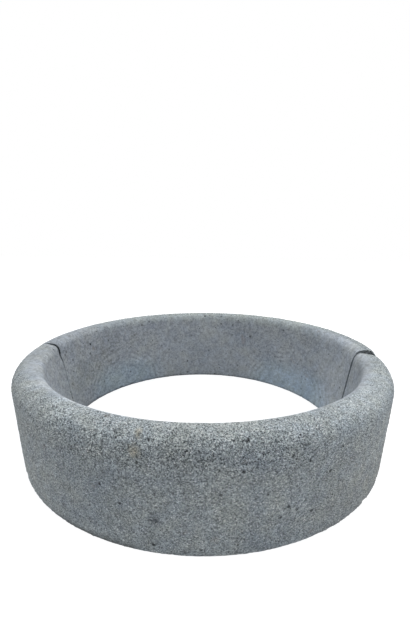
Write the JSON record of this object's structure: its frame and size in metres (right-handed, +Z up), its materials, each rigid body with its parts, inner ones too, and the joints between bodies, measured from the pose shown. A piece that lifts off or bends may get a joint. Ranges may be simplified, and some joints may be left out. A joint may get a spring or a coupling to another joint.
{
  "type": "curved concrete kerb",
  "caption": "Half-round concrete kerbs laid dry as a ring round a tree or bed, with battered faces, a rounded crest and a washed aggregate finish.",
  "frame": {"origin": "centre of the ring on the ground", "axes": "+Z up, along the ring's axis; +X through the right-hand dry joint, as the picture shows it; -Y towards the front unit"},
  "size_m": [1.25, 1.2527, 0.3039],
  "materials": {
    "washed_concrete": "matte"
  },
  "bodies": {
    "root": {"front_kerb_unit": "washed_concrete", "rear_kerb_unit": "washed_concrete"}
  },
  "joints": []
}
